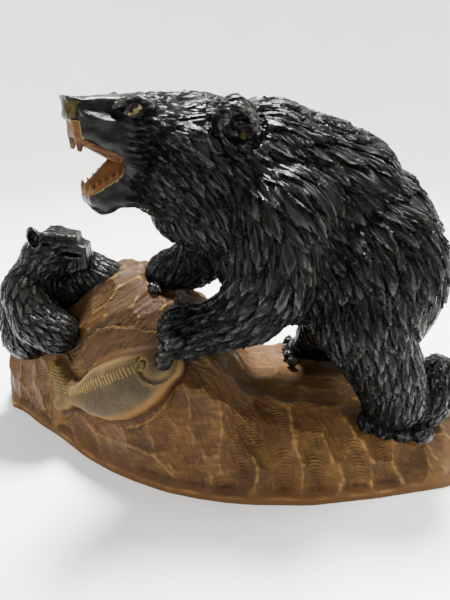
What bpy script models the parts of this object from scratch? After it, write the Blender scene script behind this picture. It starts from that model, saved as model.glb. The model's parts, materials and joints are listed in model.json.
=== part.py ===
"""A bear, her cub and a salmon, carved with gouges from one block of wood, in metres, +Z up.

The bear faces -X and turns her head towards -Y, the front. The origin is on the flat underside,
near the middle of the rock that the animals stand on. The whole figure keeps its proportions to
the length of the block: positions and half-sizes are given in drawn millimetres of a block that
is 480 of them long, and MM turns them into metres.
"""

import math

import bmesh
import bpy
import numpy as np
from mathutils import Matrix, Vector

# Driving dimensions, in metres
BLOCK_LENGTH = 0.480
LOCK_LENGTH = 0.040
LOCK_WIDTH = 0.016
LOCK_RELIEF = 0.0042
CUB_LOCK_LENGTH = 0.020
CUB_LOCK_WIDTH = 0.009
CUB_LOCK_RELIEF = 0.0018
SCOOP_LENGTH = 0.050
SCOOP_WIDTH = 0.030
SCOOP_DEPTH = 0.0056
UNDERSIDE_TRIM = 0.004
PLAIN_FOOT = 0.006

# The drawing's scale
DRAWN_LENGTH = 480
MM = BLOCK_LENGTH / DRAWN_LENGTH

# How finely the forms are worked
ROUGH_VOXEL = 0.0036
FINE_VOXEL = 0.0022
BEAR_TRIANGLES = 6100
CUB_TRIANGLES = 1000
ROCK_TRIANGLES = 1900

# The bear's head turns about this upright line, towards the front
HEAD_AT = (-27, 0, 0)
HEAD_TURN = 212
STANDING = Matrix.Identity(4)
HEAD = Matrix.Translation(Vector(HEAD_AT) * MM) @ Matrix.Rotation(math.radians(HEAD_TURN), 4, "Z")

SIDES = (1, -1)
BLACK_PAINT = ((0.012, 0.012, 0.011, 1.0), 0.30)


# Helpers for rough forms


def ball(shape, at, size, frame=STANDING, turn=0.0, tilt=0.0):
    """Adds an ellipsoid with half-sizes size. tilt lifts its +X end and turn swings it about Z."""
    matrix = frame @ Matrix.Translation(Vector(at) * MM)
    matrix = matrix @ Matrix.Rotation(math.radians(turn), 4, "Z")
    matrix = matrix @ Matrix.Rotation(-math.radians(tilt), 4, "Y")
    matrix = matrix @ Matrix.Diagonal((*(Vector(size) * MM), 1.0))
    bmesh.ops.create_uvsphere(shape, u_segments=24, v_segments=16, radius=1.0, matrix=matrix)


def limb(shape, *stations, frame=STANDING):
    """Adds balls at stations (x, y, z, radius) with a tapered length between each two."""
    for x, y, z, radius in stations:
        ball(shape, (x, y, z), (radius, radius, radius), frame)
    for start, end in zip(stations, stations[1:]):
        a = frame @ (Vector(start[:3]) * MM)
        b = frame @ (Vector(end[:3]) * MM)
        turn = (b - a).to_track_quat("Z", "Y").to_matrix().to_4x4()
        bmesh.ops.create_cone(
            shape,
            cap_ends=True,
            segments=24,
            radius1=start[3] * MM,
            radius2=end[3] * MM,
            depth=(b - a).length,
            matrix=Matrix.Translation((a + b) / 2) @ turn,
        )


def hewn(shape, back, front, frame=STANDING):
    """Adds a tapered block along X. back and front are (x, low z, high z, half width)."""
    made = bmesh.ops.create_cube(shape, size=2.0)
    for corner in made["verts"]:
        x, low, high, half = front if corner.co.x > 0 else back
        place = Vector((x, half * corner.co.y, high if corner.co.z > 0 else low))
        corner.co = frame @ (place * MM)


def spike(shape, root, tip, radius, frame=STANDING):
    """Adds a pointed cone, such as a tooth or a claw."""
    a = frame @ (Vector(root) * MM)
    b = frame @ (Vector(tip) * MM)
    turn = (b - a).to_track_quat("Z", "Y").to_matrix().to_4x4()
    bmesh.ops.create_cone(
        shape,
        cap_ends=True,
        segments=12,
        radius1=radius * MM,
        radius2=0.3 * radius * MM,
        depth=(b - a).length,
        matrix=Matrix.Translation((a + b) / 2) @ turn,
    )


def from_shape(shape, name):
    """A new object that holds a bmesh, which is freed."""
    mesh = bpy.data.meshes.new(name)
    shape.to_mesh(mesh)
    shape.free()
    obj = bpy.data.objects.new(name, mesh)
    bpy.context.scene.collection.objects.link(obj)
    return obj


def settled(obj):
    """Gives an object the mesh that its modifiers make, and removes them."""
    depsgraph = bpy.context.evaluated_depsgraph_get()
    mesh = bpy.data.meshes.new_from_object(obj.evaluated_get(depsgraph))
    obj.modifiers.clear()
    obj.data = mesh
    return obj


def skinned(obj, voxel, smoothing):
    """One closed skin round everything in an object, with its joins blended."""
    remesh = obj.modifiers.new("One skin", "REMESH")
    remesh.mode = "VOXEL"
    remesh.voxel_size = voxel
    smooth = obj.modifiers.new("Blend", "SMOOTH")
    smooth.factor = 0.5
    smooth.iterations = smoothing
    return settled(obj)


def with_more(obj, shape):
    """Adds the forms of a bmesh to an object's own mesh."""
    shape.from_mesh(obj.data)
    shape.to_mesh(obj.data)
    shape.free()
    return obj


def cut_by(obj, shape):
    """Takes the forms of a bmesh away from an object."""
    cutter = from_shape(shape, "hollow")
    boolean = obj.modifiers.new("Hollow", "BOOLEAN")
    boolean.operation = "DIFFERENCE"
    boolean.object = cutter
    boolean.use_self = True
    settled(obj)
    bpy.data.objects.remove(cutter)
    return obj


# The rock. Each station is x, the front foot's y, the crest's front and back y, the back foot's y
# and the crest's height.
ROCK = (
    (-250, 64, 72, 78, 92, 36),
    (-244, 46, 62, 88, 103, 60),
    (-225, 36, 56, 84, 108, 76),
    (-200, 14, 46, 82, 110, 92),
    (-175, -4, 40, 80, 111, 116),
    (-140, -34, 40, 76, 112, 148),
    (-112, -52, 38, 72, 112, 164),
    (-90, -63, 32, 70, 112, 162),
    (-62, -75, 18, 66, 112, 146),
    (-35, -82, 2, 64, 111, 128),
    (-14, -86, -8, 62, 110, 112),
    (2, -88, -14, 66, 109, 84),
    (14, -89, -14, 74, 108, 64),
    (60, -90, -20, 78, 106, 60),
    (120, -82, -34, 76, 100, 54),
    (188, -69, -40, 60, 84, 45),
    (216, -50, -26, 42, 62, 36),
    (230, -28, -14, 24, 36, 26),
)
FRONT_BULGE = 1.25
ROCK_SECTIONS = 64
ROCK_STEPS = 16


def rock_section(x):
    """The rock's front foot, crest front, crest back, back foot and height at x."""
    stations = np.array(ROCK, float)
    return [float(np.interp(x, stations[:, 0], stations[:, i])) for i in range(1, 6)]


def rock_front(x, z):
    """The y of the rock's front face at a height z."""
    foot, crest, _, _, height = rock_section(x)
    share = min(max(z / height, 0.0), 1.0)
    return crest - (crest - foot) * (1 - share ** (2 / FRONT_BULGE)) ** (FRONT_BULGE / 2)


def rock_outline(x):
    """The (y, z) points of the rock's section at x, from its front foot over to its back foot."""
    foot, crest_front, crest_back, back, height = rock_section(x)
    angles = np.linspace(0, math.pi / 2, ROCK_STEPS)
    rise = height * np.sin(angles) ** FRONT_BULGE
    front = crest_front - (crest_front - foot) * np.cos(angles) ** FRONT_BULGE
    behind = crest_back + (back - crest_back) * np.cos(angles[::-1])
    ys = np.concatenate([front, behind])
    zs = np.concatenate([rise, height * np.sin(angles[::-1])])
    low = -UNDERSIDE_TRIM / MM
    return [(foot, low), *zip(ys, zs), (back, low)]


def rock_form():
    """The rough rock: sections lofted along X, closed at both ends and below."""
    shape = bmesh.new()
    xs = np.linspace(ROCK[0][0], ROCK[-1][0], ROCK_SECTIONS)
    rings = []
    for x in xs:
        rings.append([shape.verts.new(Vector((x, y, z)) * MM) for y, z in rock_outline(x)])
    for one, two in zip(rings, rings[1:]):
        for i in range(len(one)):
            j = (i + 1) % len(one)
            shape.faces.new((one[i], one[j], two[j], two[i]))
    shape.faces.new(rings[0][::-1])
    shape.faces.new(rings[-1])
    bmesh.ops.recalc_face_normals(shape, faces=shape.faces)
    return shape


# The bear


def bear_body(shape):
    """Trunk, neck, chest and the roots of the legs."""
    ball(shape, (104, 0, 197), (58, 59, 70))
    ball(shape, (126, 0, 188), (44, 52, 54))
    ball(shape, (81, 0, 223), (53, 54, 69))
    ball(shape, (50, 0, 216), (76, 58, 86))
    ball(shape, (20, 0, 248), (58, 54, 65))
    ball(shape, (-8, -4, 234), (48, 44, 42))
    ball(shape, (-29, -6, 230), (40, 38, 27))
    limb(shape, (0, 0, 262, 49), (-28, -10, 270, 40))


def bear_near_legs(shape):
    """The legs on the front side: one paw on the salmon, one foot flat on the rock."""
    limb(shape, (34, -30, 236, 42), (26, -42, 184, 34), (10, -46, 162, 27))
    limb(shape, (10, -46, 162, 27), (-18, -46, 148, 20), (-38, -45, 141, 20))
    ball(shape, (-42, -44, 142), (23, 20, 24))
    ball(shape, (108, -34, 180), (56, 36, 66))
    limb(shape, (98, -40, 152, 38), (122, -42, 110, 31), (136, -42, 78, 27))
    limb(shape, (184, -16, 78, 22), (164, -32, 66, 25), (136, -36, 62, 24))


def bear_far_legs(shape):
    """The legs on the back side, both a step further forward."""
    limb(shape, (14, 28, 232, 40), (-16, 42, 192, 30), (-42, 47, 165, 24), (-64, 46, 160, 19))
    ball(shape, (-64, 46, 160), (22, 20, 17))
    ball(shape, (106, 36, 178), (54, 34, 62))
    limb(shape, (94, 42, 140, 34), (92, 52, 105, 26), (84, 58, 82, 20))
    limb(shape, (116, 54, 76, 20), (70, 60, 66, 13))


def bear_head(shape):
    """Skull, cheeks, muzzle and open lower jaw, in the head's own frame."""
    ball(shape, (10, 0, 279), (48, 43, 38), HEAD)
    ball(shape, (38, 0, 297), (30, 31, 21), HEAD)
    ball(shape, (24, 20, 262), (36, 21, 30), HEAD)
    ball(shape, (24, -20, 262), (36, 21, 30), HEAD)
    ball(shape, (32, 0, 258), (34, 34, 28), HEAD)
    ball(shape, (16, 0, 287), (40, 47, 24), HEAD)
    hewn(shape, (40, 262, 294, 28), (97, 292, 310, 14), HEAD)
    hewn(shape, (40, 288, 318, 16), (98, 304, 317, 9), HEAD)
    hewn(shape, (40, 241, 288, 27), (95, 246, 256, 12), HEAD)
    for side in SIDES:
        ball(shape, (61, side * 19, 273), (11, 6, 11), HEAD)
        ball(shape, (57, side * 15, 301), (15, 9, 9), HEAD)
    ball(shape, (82, 0, 247), (11, 15, 10), HEAD)


def bear_face(shape):
    """Nose, brows, eyes, ears, tongue and teeth, in the head's own frame."""
    hewn(shape, (84, 301, 315, 11), (102, 303, 318, 8), HEAD)
    hewn(shape, (84, 287, 303, 14), (99, 292, 304, 9), HEAD)
    limb(shape, (66, 0, 270, 11), (88, 0, 257, 7), frame=HEAD)
    for side in SIDES:
        ball(shape, (56, side * 17, 309), (12, 7, 6), HEAD, turn=side * -20)
        ball(shape, (63, side * 19, 308), (5.5, 4, 3), HEAD, turn=side * -20)
        ball(shape, (1, side * 46, 299), (16, 11, 18), HEAD, turn=side * -20)
        spike(shape, (95, side * 8, 296), (97, side * 8, 284), 4.4, HEAD)
        spike(shape, (92, side * 9, 252), (93, side * 9, 262), 3.4, HEAD)


def face_hollows():
    """The cups of the ears and the nostrils."""
    shape = bmesh.new()
    for side in SIDES:
        ball(shape, (3, side * 57, 295), (11, 9, 11), HEAD, turn=side * -20)
        ball(shape, (103, side * 6.5, 311), (5, 3, 3.5), HEAD)
    return shape


def toes(shape, at, spread, reach, radius, claw):
    """Four toes in a fan round a paw. spread and reach are the fan's side and forward vectors."""
    at, spread, reach = Vector(at), Vector(spread), Vector(reach)
    for share in (-0.75, -0.25, 0.25, 0.75):
        toe = at + share * spread + (1 - 0.35 * share * share) * reach
        ball(shape, toe, (radius, radius, radius))
        spike(shape, toe + 0.3 * reach, toe + claw * reach.normalized(), 0.5 * radius)


def bear_toes(shape):
    """The toes of the four paws."""
    toes(shape, (-46, -46, 138), (8, -14, 22), (-11, -8, -12), 8, 10)
    toes(shape, (-66, 46, 158), (0, 28, 3), (-12, -2, -7), 7, 8)
    toes(shape, (142, -42, 53), (28, -10, 0), (-5, -9, -4), 10, 12)
    toes(shape, (68, 58, 65), (0, 28, 0), (-11, 0, -3), 6, 7)


def bear_form(voxel, smoothing):
    """The smooth bear, before her fur is cut, and the rough skin it is worked from."""
    shape = bmesh.new()
    bear_body(shape)
    bear_near_legs(shape)
    bear_far_legs(shape)
    bear_head(shape)
    bear = skinned(from_shape(shape, "bear"), ROUGH_VOXEL, 6)
    rough = surface(bear)
    shape = bmesh.new()
    bear_face(shape)
    bear_toes(shape)
    with_more(bear, shape)
    skinned(bear, voxel, 0)
    cut_by(bear, face_hollows())
    return skinned(bear, voxel, smoothing), rough


# The cub, whose muzzle is hewn in a frame of its own with its middle at y = 0
CUB_FACE = Matrix.Translation(Vector((0, 36, 0)) * MM)
CUB_MUZZLE = (
    ((-176, 160, 198, 18), (-134, 168, 190, 11)),
    ((-172, 182, 204, 15), (-141, 180, 200, 10)),
)


def cub_form(voxel, smoothing):
    """The cub, climbing the rock's left end with its head raised to its mother, and its skin."""
    shape = bmesh.new()
    limb(shape, (-203, 48, 102, 31), (-197, 44, 134, 30), (-184, 38, 156, 26))
    ball(shape, (-204, 40, 98), (27, 32, 29))
    ball(shape, (-173, 34, 176), (25, 23, 22))
    ball(shape, (-166, 46, 146), (24, 20, 26))
    limb(shape, (-192, 20, 150, 22), (-182, 8, 126, 23), (-164, 4, 115, 21))
    limb(shape, (-170, 50, 158, 20), (-142, 50, 158, 20), (-124, 48, 152, 18))
    cub = skinned(from_shape(shape, "cub"), ROUGH_VOXEL, 4)
    rough = surface(cub)
    shape = bmesh.new()
    for block in CUB_MUZZLE:
        hewn(shape, *block, CUB_FACE)
    ball(shape, (-177, 21, 199), (9, 5, 12), turn=-30, tilt=20)
    ball(shape, (-164, 49, 196), (8, 5, 8), turn=20)
    with_more(cub, shape)
    return skinned(cub, voxel, smoothing), rough


# The salmon in relief on the rock. Its stations are x, z, half width and relief, from the head,
# which is held under the bear's near paw, to the two tips of the tail fin.
SALMON = (
    (-56, 105, 11, 11),
    (-63, 102, 14, 12),
    (-72, 97, 18, 14),
    (-88, 88, 22, 15),
    (-104, 79, 23, 15),
    (-118, 72, 21, 13),
    (-130, 66, 16, 12),
    (-141, 62, 10, 10),
    (-149, 60, 9, 9),
    (-161, 58, 18, 9),
    (-173, 57, 25, 8),
)
TAIL_NOTCH = 14
HOLLOW_ABOVE = 1.1
HOLLOW_BELOW = 0.4
HOLLOW_DEPTH = 5


def along_salmon(points):
    """For each point, its place along the salmon, its offset to the belly, the width and relief."""
    line = np.array(SALMON, float)
    x, z = points[:, 0] / MM, points[:, 2] / MM
    best = np.full(len(points), 1e9)
    along, across = np.zeros(len(points)), np.zeros(len(points))
    width, relief = np.ones(len(points)), np.zeros(len(points))
    for i, (a, b) in enumerate(zip(line, line[1:])):
        step = b[:2] - a[:2]
        length = np.hypot(*step)
        dx, dz = x - a[0], z - a[1]
        share = np.clip((dx * step[0] + dz * step[1]) / length**2, 0, 1)
        gap = np.hypot(dx - share * step[0], dz - share * step[1])
        near = gap < best
        best[near] = gap[near]
        side = np.sign(dz * step[0] - dx * step[1])
        along[near] = (i + share)[near]
        across[near] = (gap * side)[near]
        width[near] = (a[2] + share * (b[2] - a[2]))[near]
        relief[near] = (a[3] + share * (b[3] - a[3]))[near]
    return along, across, width, relief


def salmon_relief(points, normals):
    """How far the salmon stands out of the rock's front at each point, in metres."""
    along, across, width, relief = along_salmon(points)
    share = np.abs(across) / width
    rise = relief * np.sqrt(1 - np.clip(share, 0, 1) ** 2)
    reach = np.where(across < 0, HOLLOW_ABOVE, HOLLOW_BELOW)
    out = np.clip((share - 1) / reach, 0, 1)
    rise -= HOLLOW_DEPTH * np.minimum(1, 4 * out) * (1 - out) ** 0.3
    last = np.array(SALMON[-1][:2]) - SALMON[-2][:2]
    ahead = (points[:, ::2] / MM - SALMON[-2][:2]) @ last / (last @ last)
    notch = ahead > 1 - np.clip(1 - np.abs(across) / TAIL_NOTCH, 0, 1)
    rise[notch | (normals[:, 1] > 0)] = 0
    return rise * MM


# Carving: locks of fur and scoops of the gouge, both laid along a flow over the surface


def surface(obj):
    """The vertices of an object and their normals, as arrays."""
    mesh = obj.data
    points = np.empty(len(mesh.vertices) * 3)
    mesh.vertices.foreach_get("co", points)
    normals = np.empty(len(mesh.vertices) * 3)
    mesh.vertex_normals.foreach_get("vector", normals)
    return points.reshape(-1, 3), normals.reshape(-1, 3)


def pushed(obj, rise):
    """Moves the vertices of an object along their normals."""
    points, normals = surface(obj)
    points += normals * rise[:, None]
    obj.data.vertices.foreach_set("co", points.ravel())
    obj.data.update()


# Which way the bear's fur lies: a place, the direction there and the size of the locks. Those of
# the trunk and legs are given for the front side and serve for the back side as well.
TRUNK_FLOW = (
    (15, 0, 310, 1, 0, -0.1, 1.0),
    (60, 0, 304, 1, 0, -0.2, 1.0),
    (100, 0, 285, 0.9, 0, -0.5, 1.0),
    (145, 0, 252, 0.7, 0, -0.8, 1.0),
    (172, 0, 205, 0.2, 0, -1, 1.0),
    (165, 0, 160, 0, 0, -1, 0.9),
    (20, -40, 285, 0.9, -0.2, -0.5, 1.0),
    (60, -56, 255, 0.8, -0.1, -0.7, 1.1),
    (60, -60, 205, 0.6, 0, -0.8, 1.0),
    (110, -55, 235, 0.6, 0, -0.8, 1.1),
    (140, -45, 190, 0.2, 0, -1, 1.0),
    (100, -68, 170, 0.2, 0, -1, 0.8),
    (110, -70, 130, 0.2, 0, -1, 0.6),
    (130, -60, 95, 0.1, 0, -1, 0.5),
    (150, -55, 60, -0.4, -0.5, -0.4, 0.35),
    (20, -70, 225, 0.4, 0, -0.9, 1.0),
    (20, -75, 185, -0.5, 0, -0.9, 0.8),
    (10, -70, 165, -0.85, 0, -0.5, 0.6),
    (-20, -68, 150, -0.9, 0, -0.3, 0.5),
    (-45, -64, 140, -0.9, 0, -0.5, 0.35),
    (0, -46, 275, 0.8, -0.2, -0.6, 1.0),
    (-8, -50, 245, 0.4, -0.2, -0.9, 1.0),
    (-45, -15, 215, 0.4, 0, -0.9, 0.6),
    (50, -20, 125, 0.9, 0, -0.1, 0.5),
)
HEAD_FLOW = (
    (86, 0, 318, -1, 0, 0, 0),
    (70, 18, 300, -1, 0, -0.1, 0),
    (78, 16, 288, -1, 0, -0.1, 0),
    (84, 0, 250, -1, 0, 0, 0),
    (70, 18, 250, -1, 0, -0.2, 0.3),
    (50, 0, 318, -1, 0, 0.1, 0.6),
    (20, 0, 318, -1, 0, 0, 0.8),
    (-15, 0, 312, -1, 0, -0.2, 1.0),
    (48, 30, 300, -0.7, 0, -0.7, 0.7),
    (30, 42, 285, -0.5, 0, -0.9, 1.0),
    (20, 46, 262, -0.35, 0, -1, 0.9),
    (64, 24, 304, -0.9, 0, -0.4, 0),
    (64, 26, 288, -0.7, 0, -0.7, 0),
    (62, 27, 270, -0.5, 0, -0.9, 0),
    (46, 29, 262, -0.5, 0, -0.9, 0.6),
    (48, 25, 250, -0.9, 0, -0.4, 0.4),
    (0, 50, 318, -0.9, 0.2, 0, 0.55),
    (16, 50, 300, 0, 0.4, 0.9, 0.45),
    (-16, 50, 298, -0.3, 0.2, -0.9, 0.55),
    (40, 0, 236, -0.9, 0, -0.4, 0.5),
)
CUB_FLOW = (
    (-150, 36, 202, -1, 0, 0, 0.3),
    (-145, 18, 182, -1, 0, 0, 0.3),
    (-185, 36, 202, -0.9, 0, -0.4, 0.8),
    (-190, 15, 175, -0.3, 0, -0.9, 1.0),
    (-215, 30, 140, -0.1, 0, -1, 1.0),
    (-232, 45, 110, 0, 0, -1, 1.0),
    (-215, 10, 95, 0.3, 0, -0.9, 1.0),
    (-180, -8, 125, 0.6, 0, -0.7, 0.8),
    (-155, -10, 108, 0.9, 0, -0.4, 0.7),
    (-150, 40, 175, 0.9, 0, -0.1, 0.7),
    (-120, 45, 160, 0.8, 0, -0.5, 0.7),
)
FLOW_REACH = 24


def mirrored(flow):
    """A flow with its other side added."""
    return np.array([row for x, y, *rest in flow for row in ((x, y, *rest), (x, -y, *rest))])


def bear_flow():
    """The bear's flow, with the guides of her head turned with it."""
    guides = [mirrored(TRUNK_FLOW)]
    head = mirrored(HEAD_FLOW)
    turn = np.array(Matrix.Rotation(math.radians(HEAD_TURN), 3, "Z"))
    head[:, :3] = head[:, :3] @ turn.T + np.array(HEAD_AT)
    head[:, 3:6] = head[:, 3:6] @ turn.T
    guides.append(head)
    return np.concatenate(guides)


def flow_at(points, normals, guides):
    """The direction along the surface and the lock size at each point."""
    weights = np.zeros((len(points), len(guides)))
    for i, guide in enumerate(guides):
        gap = ((points / MM - guide[:3]) ** 2).sum(axis=1)
        weights[:, i] = np.exp(-gap / (2 * FLOW_REACH**2)) + 1e-12 / (1 + gap)
    weights /= weights.sum(axis=1, keepdims=True)
    lie = weights @ guides[:, 3:6]
    lie -= normals * (lie * normals).sum(axis=1, keepdims=True)
    lie /= np.linalg.norm(lie, axis=1, keepdims=True) + 1e-9
    return lie, weights @ guides[:, 6]


def placed_locks(rough, guides, length, width, seed):
    """Lock places chosen at random over a rough skin, none too near another in its own lie."""
    points, normals = rough
    lie, size = flow_at(points, normals, guides)
    order = np.random.default_rng(seed).permutation(len(points))
    chosen = []
    kept = np.empty((0, 3))
    for i in order:
        if size[i] < 0.25:
            continue
        if len(chosen):
            apart = kept - points[i]
            along = apart @ lie[i]
            across = apart @ np.cross(normals[i], lie[i])
            depth = apart @ normals[i]
            gap = (along / (0.52 * length)) ** 2 + (across / (0.80 * width)) ** 2
            gap += (depth / width) ** 2
            if gap.min() < size[i] ** 2:
                continue
        chosen.append(i)
        kept = points[chosen]
    return [(points[i], normals[i], lie[i], size[i]) for i in chosen]


def cells_of(points, cell):
    """Which vertices lie in each cubic cell of space."""
    keys = np.floor(points / cell).astype(int)
    order = np.lexsort(keys.T)
    keys = keys[order]
    starts = np.flatnonzero(np.r_[True, (np.diff(keys, axis=0) != 0).any(axis=1)])
    ends = np.r_[starts[1:], len(order)]
    return {tuple(keys[a]): order[a:b] for a, b in zip(starts, ends)}


def near(cells, cell, at, reach):
    """The vertices in the cells that a cube round a place touches."""
    low = np.floor((at - reach) / cell).astype(int)
    high = np.floor((at + reach) / cell).astype(int)
    found = []
    for i in range(low[0], high[0] + 1):
        for j in range(low[1], high[1] + 1):
            for k in range(low[2], high[2] + 1):
                if (i, j, k) in cells:
                    found.append(cells[i, j, k])
    return np.concatenate(found) if found else np.empty(0, int)


def locks_relief(surface_of, places, length, width, relief, seed):
    """Leaf-shaped locks that rise towards a pointed tip, the highest winning where they overlap."""
    points, normals = surface_of
    rng = np.random.default_rng(seed)
    cell = length / 2
    cells = cells_of(points, cell)
    rise = np.zeros(len(points))
    for at, normal, lie, size in places:
        swing = rng.normal(0, 0.10)
        side = np.cross(normal, lie)
        along_way = math.cos(swing) * lie + math.sin(swing) * side
        across_way = np.cross(normal, along_way)
        lock_length = length * size * rng.uniform(0.8, 1.25)
        lock_width = width * size * rng.uniform(0.85, 1.2)
        height = relief * size * rng.uniform(0.6, 1.25)
        ids = near(cells, cell, at, 0.6 * lock_length)
        if not len(ids):
            continue
        apart = points[ids] - at
        along = apart @ along_way / lock_length + 0.5
        across = 2 * apart @ across_way / lock_width
        fits = (along > 0) & (along < 1) & (normals[ids] @ normal > 0.2)
        fits &= np.abs(apart @ normal) < 0.6 * lock_length
        ids, along, across = ids[fits], along[fits], across[fits]
        leaf = np.minimum(1, 1.6 * along**0.5) * np.minimum(1, 2.4 * (1 - along)) ** 0.8
        inside = np.abs(across) < leaf
        ids, along, across, leaf = ids[inside], along[inside], across[inside], leaf[inside]
        crown = 1 - 0.55 * (across / leaf) ** 2
        rise[ids] = np.maximum(rise[ids], height * along**1.2 * crown)
    return rise


def scoops_relief(surface_of, places, length, width, depth, seed):
    """Shallow oval hollows left by a wide gouge, the deepest winning where they overlap."""
    points, normals = surface_of
    rng = np.random.default_rng(seed)
    cell = length / 2
    cells = cells_of(points, cell)
    rise = np.zeros(len(points))
    for at, normal, lie, size in places:
        side = np.cross(normal, lie)
        scoop_length = length * size * rng.uniform(0.9, 1.25)
        scoop_width = width * size * rng.uniform(0.95, 1.25)
        scoop_depth = depth * size * rng.uniform(0.75, 1.2)
        ids = near(cells, cell, at, 0.55 * scoop_length)
        apart = points[ids] - at
        along = 2 * apart @ lie / scoop_length
        across = 2 * apart @ side / scoop_width
        inside = (along**2 + across**2 < 1) & (normals[ids] @ normal > 0.5)
        ids = ids[inside]
        bowl = 1 - along[inside] ** 2 - across[inside] ** 2
        rise[ids] = np.minimum(rise[ids], -scoop_depth * bowl**0.85)
    return rise


# The way the gouge was drawn over the rock: down the slope, and slanting round the salmon
ROCK_FLOW = (
    (-240, 50, 50, 0, 0, -1, 0.9),
    (-190, 10, 60, 0.2, 0, -1, 0.9),
    (-150, -10, 110, 1, 0, 0.8, 1.0),
    (-110, -10, 130, 0.8, 0, 1, 1.0),
    (-100, 50, 165, 0.4, 0, 1, 0.5),
    (-75, -20, 135, 0.5, 0, 1, 0.9),
    (-110, -55, 25, 1, 0, -0.4, 1.0),
    (-40, -60, 70, 0.4, 0, -1, 1.0),
    (0, -70, 50, 0.1, 0, -1, 1.0),
    (60, -60, 40, 0, 0, -1, 1.0),
    (120, -70, 30, 0.1, 0, -1, 0.9),
    (190, -60, 25, 0.6, 0, -0.6, 0.9),
    (40, 30, 64, 1, 0, 0, 0.9),
    (60, 107, 30, 0.1, 0, -1, 1.0),
    (-60, 112, 80, 0, 0, -1, 1.0),
    (-200, 110, 60, 0, 0, -1, 1.0),
)


# The whole carving


def clear_scene():
    for obj in list(bpy.data.objects):
        bpy.data.objects.remove(obj)


def paint(obj, name, colour, roughness):
    """Gives an object a plain painted material."""
    material = bpy.data.materials.new(name)
    material.use_nodes = True
    shader = material.node_tree.nodes["Principled BSDF"]
    shader.inputs["Base Color"].default_value = colour
    shader.inputs["Roughness"].default_value = roughness
    obj.data.materials.clear()
    obj.data.materials.append(material)


def joined(target, *others):
    """Unites closed meshes into one solid."""
    for other in others:
        boolean = target.modifiers.new("Join", "BOOLEAN")
        boolean.operation = "UNION"
        boolean.object = other
        settled(target)
        bpy.data.objects.remove(other)
    return target


def triangles(obj):
    """How many triangles an object's faces make."""
    return sum(len(face.vertices) - 2 for face in obj.data.polygons)


def fewer(obj, count):
    """Merges the flatter faces of an object until about count triangles are left."""
    decimate = obj.modifiers.new("Fewer faces", "DECIMATE")
    decimate.ratio = count / triangles(obj)
    return settled(obj)


def flat_below(obj):
    """Saws an object flat at z = 0 and drops what is lower."""
    shape = bmesh.new()
    shape.from_mesh(obj.data)
    everything = shape.verts[:] + shape.edges[:] + shape.faces[:]
    sawn = bmesh.ops.bisect_plane(
        shape, geom=everything, plane_co=(0, 0, 0), plane_no=(0, 0, 1), clear_inner=True
    )
    edges = [e for e in sawn["geom_cut"] if isinstance(e, bmesh.types.BMEdge)]
    bmesh.ops.holes_fill(shape, edges=edges)
    bmesh.ops.recalc_face_normals(shape, faces=shape.faces)
    shape.to_mesh(obj.data)
    shape.free()
    return obj


def carved_rock():
    """The rock with the salmon and the scoops of a wide gouge."""
    rock = from_shape(rock_form(), "carved_bear")
    skinned(rock, ROUGH_VOXEL, 4)
    guides = np.array(ROCK_FLOW, float)
    places = placed_locks(surface(rock), guides, SCOOP_LENGTH, SCOOP_WIDTH, 4)
    skinned(rock, FINE_VOXEL, 0)
    points, normals = surface(rock)
    fish = salmon_relief(points, normals)
    scoops = scoops_relief((points, normals), places, SCOOP_LENGTH, SCOOP_WIDTH, SCOOP_DEPTH, 5)
    scoops[(fish != 0) | (normals[:, 2] < -0.5)] = 0
    scoops *= np.clip((points[:, 2] - PLAIN_FOOT) / PLAIN_FOOT, 0, 1)
    pushed(rock, fish + scoops)
    return rock


def carved_bear():
    """The bear with her locks of fur."""
    bear, rough = bear_form(FINE_VOXEL, 1)
    places = placed_locks(rough, bear_flow(), LOCK_LENGTH, LOCK_WIDTH, 1)
    pushed(bear, locks_relief(surface(bear), places, LOCK_LENGTH, LOCK_WIDTH, LOCK_RELIEF, 2))
    return bear


def carved_cub():
    """The cub with its shorter locks."""
    cub, rough = cub_form(FINE_VOXEL, 1)
    size = (CUB_LOCK_LENGTH, CUB_LOCK_WIDTH)
    places = placed_locks(rough, np.array(CUB_FLOW, float), *size, 3)
    pushed(cub, locks_relief(surface(cub), places, *size, CUB_LOCK_RELIEF, 3))
    return cub


def main():
    clear_scene()
    rock = fewer(carved_rock(), ROCK_TRIANGLES)
    bear = fewer(carved_bear(), BEAR_TRIANGLES)
    cub = fewer(carved_cub(), CUB_TRIANGLES)
    joined(rock, bear, cub)
    flat_below(rock)
    paint(rock, "Black paint", *BLACK_PAINT)


main()
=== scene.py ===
"""A carved wooden bear with her cub and a salmon on a rock, dressed for its picture."""

import json
import math
from itertools import product

import bmesh
import bpy
import numpy as np
from mathutils import Matrix, Vector
from mathutils.kdtree import KDTree

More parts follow.
